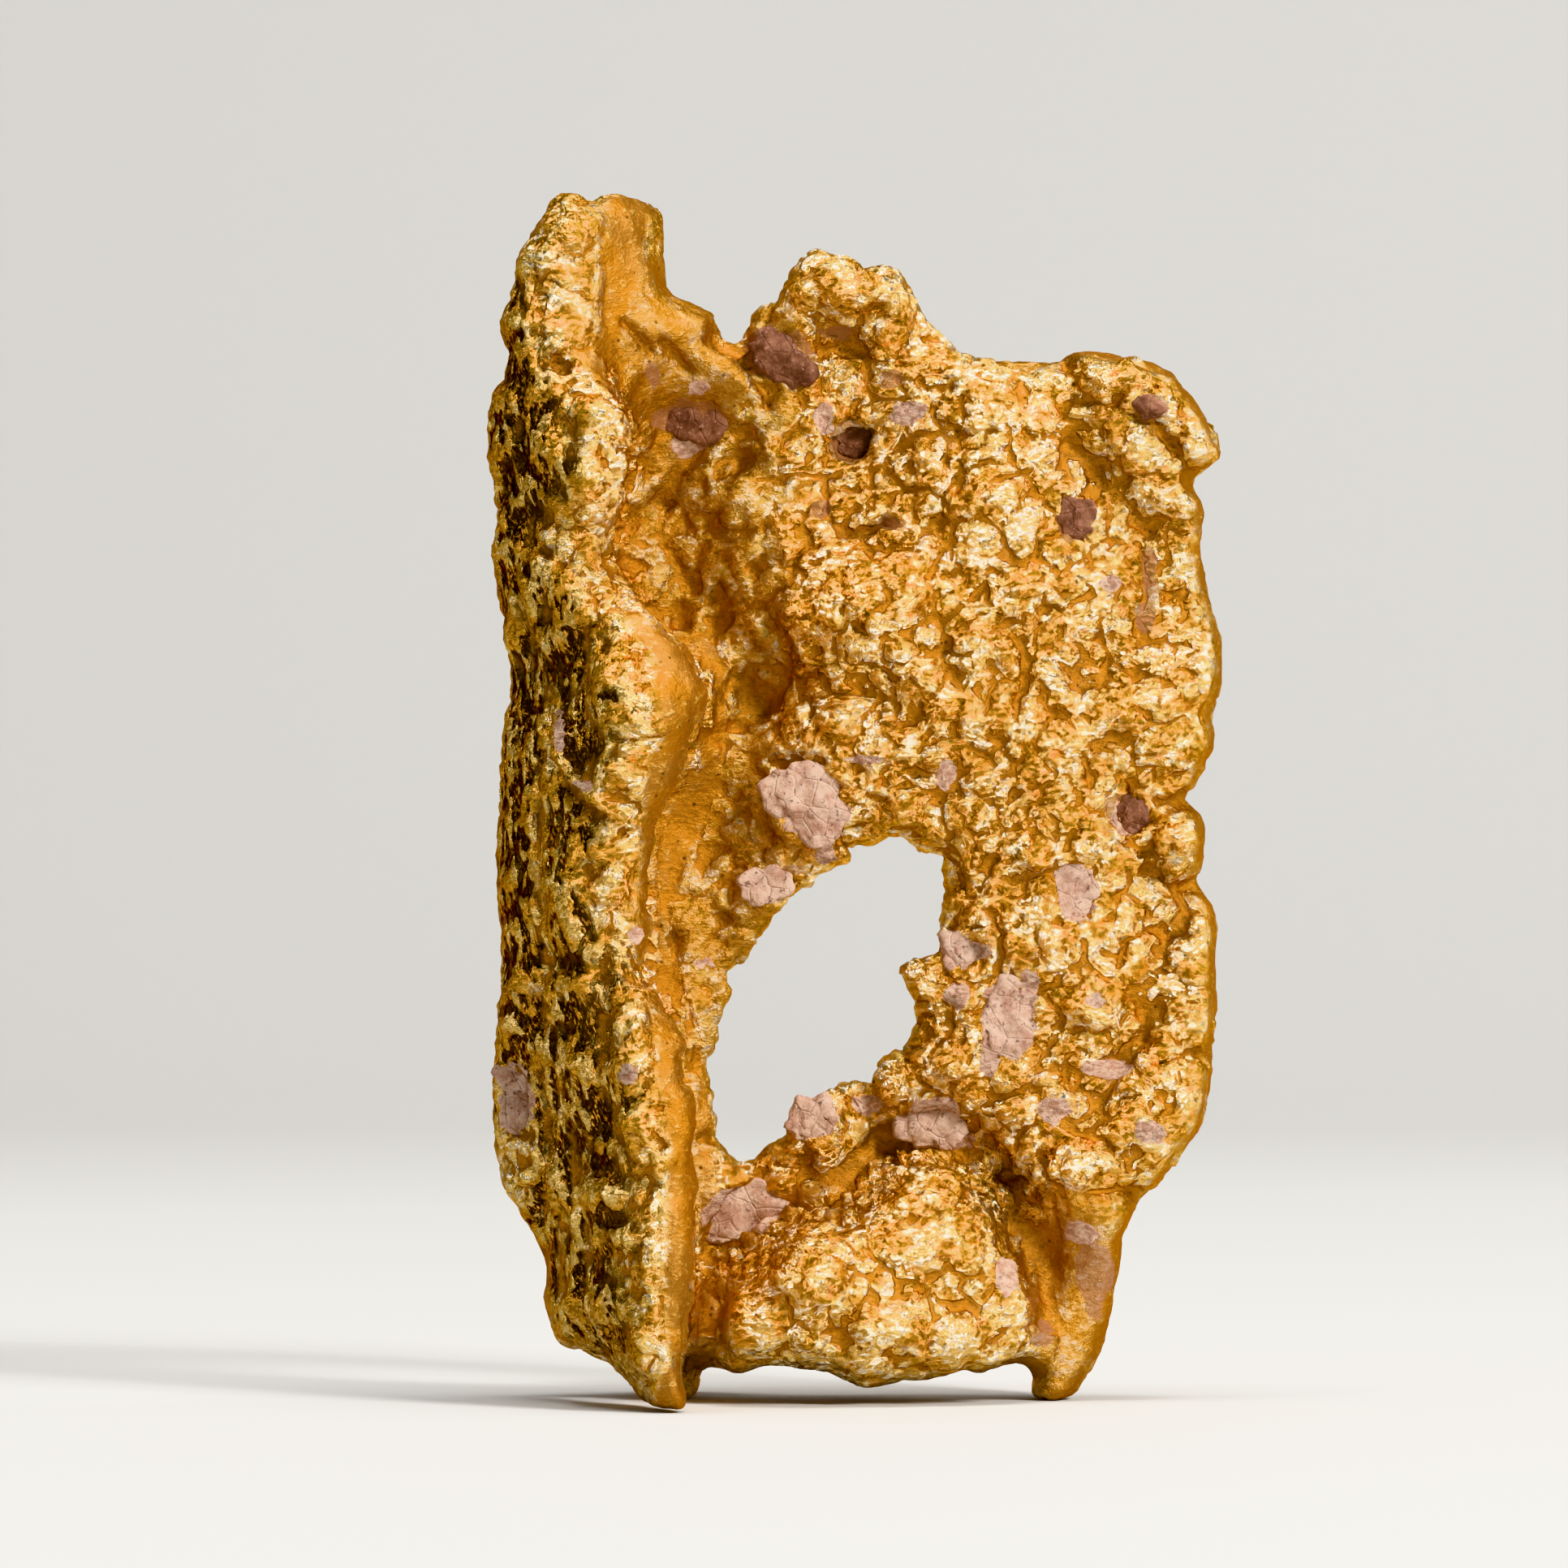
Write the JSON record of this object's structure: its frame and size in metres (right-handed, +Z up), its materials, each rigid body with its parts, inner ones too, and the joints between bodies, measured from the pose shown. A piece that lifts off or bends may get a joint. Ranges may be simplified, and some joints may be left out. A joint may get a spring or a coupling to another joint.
{
  "type": "native gold specimen",
  "caption": "Natural native gold nugget standing upright: a thick ragged plate with a window through it, a folded flange, a lumpy foot mass, and clay and ironstone in pockets.",
  "frame": {"origin": "centre of the bounding box in plan, at the floor the specimen stands on", "axes": "+X to the right seen from the front, -Y is the front, +Z up and the longest extent"},
  "size_m": [0.0368, 0.0217, 0.0602],
  "materials": {
    "gold": "natural gold: crinkled and bright, with satin worn edges",
    "ironstone": "dull dark reddish-brown stone",
    "clay": "dry pale pinkish clay"
  },
  "bodies": {
    "root": {"native_gold": "gold", "ironstone_cleft": "ironstone", "ironstone_upper_left": "ironstone", "ironstone_round_pit": "ironstone", "ironstone_corner_knob": "ironstone", "ironstone_right_pebble": "ironstone", "ironstone_edge_wedge": "ironstone", "clay_above_window": "clay", "clay_trough_block": "clay", "clay_flange_pocket": "clay", "clay_right_of_window": "clay", "clay_lower_right": "clay", "clay_below_window": "clay", "clay_window_edge": "clay", "clay_window_lower_lip": "clay", "clay_window_upper_lip": "clay"}
  },
  "joints": []
}
